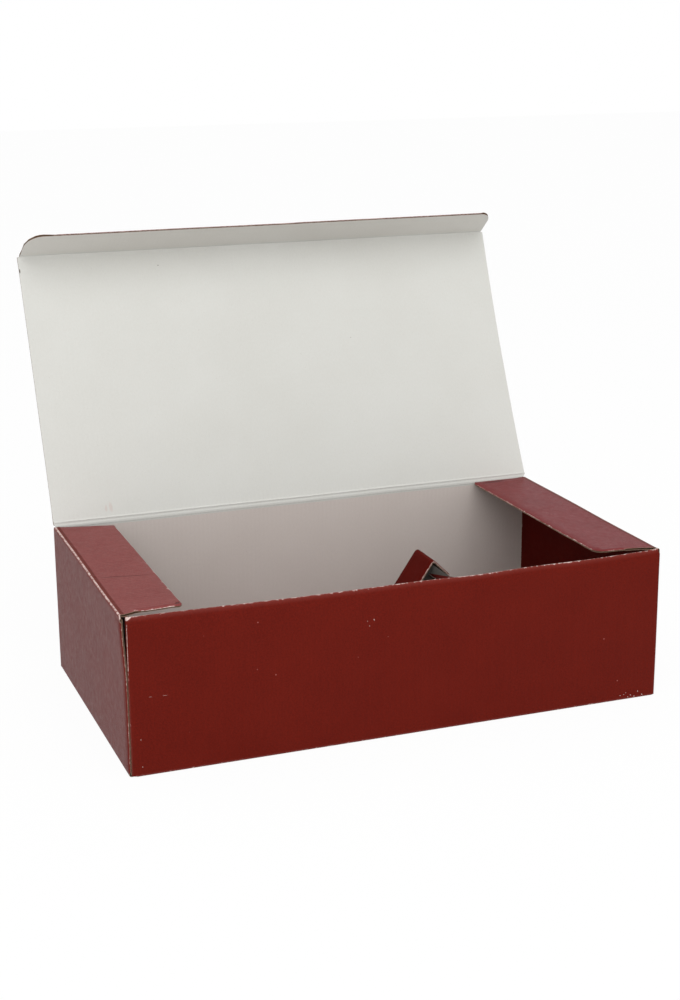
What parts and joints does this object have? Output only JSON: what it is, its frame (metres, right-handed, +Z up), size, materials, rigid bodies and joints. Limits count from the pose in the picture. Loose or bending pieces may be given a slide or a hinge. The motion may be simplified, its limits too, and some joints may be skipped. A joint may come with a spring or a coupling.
{
  "type": "bottle shipping box",
  "caption": "Long corrugated board shipping box for bottles, standing open: hinged lid with a rounded tuck flap, dust flaps, an end liner and a folded ridge divider inside.",
  "frame": {"origin": "centre of the flat underside of the box", "axes": "+X along the length, to the right seen from the front; +Y to the back, where the lid hinges; +Z up"},
  "size_m": [0.37, 0.2895, 0.3045],
  "materials": {
    "box_board": "burgundy print with a fine linen emboss and a satin sheen outside, pale liner inside",
    "insert_board": "burgundy print on one side, pale grey on the other"
  },
  "bodies": {
    "box": {"box_body": "box_board", "bottle_liner": "insert_board", "bottle_divider": "insert_board"},
    "lid": {"lid": "box_board"},
    "tuck_flap": {"tuck_flap": "box_board"},
    "dust_flap_left": {"dust_flap_left": "box_board"},
    "dust_flap_right": {"dust_flap_right": "box_board"}
  },
  "joints": [
    {"name": "lid_hinge", "type": "hinge", "parent": "box", "child": "lid", "pos_m": [0, 0.1016, 0.10635], "axis": [-1, 0, 0], "range_deg": [-115.25, 84.75]},
    {"name": "tuck_flap_hinge", "type": "hinge", "parent": "lid", "child": "tuck_flap", "pos_m": [0, 0.18632, 0.28597], "axis": [1, 0, 0], "range_deg": [-86, 10]},
    {"name": "dust_flap_left_hinge", "type": "hinge", "parent": "box", "child": "dust_flap_left", "pos_m": [-0.1842, 0, 0.1045], "axis": [0, -1, 0], "range_deg": [0, 200]},
    {"name": "dust_flap_right_hinge", "type": "hinge", "parent": "box", "child": "dust_flap_right", "pos_m": [0.1842, 0, 0.1045], "axis": [0, 1, 0], "range_deg": [0, 200]}
  ]
}
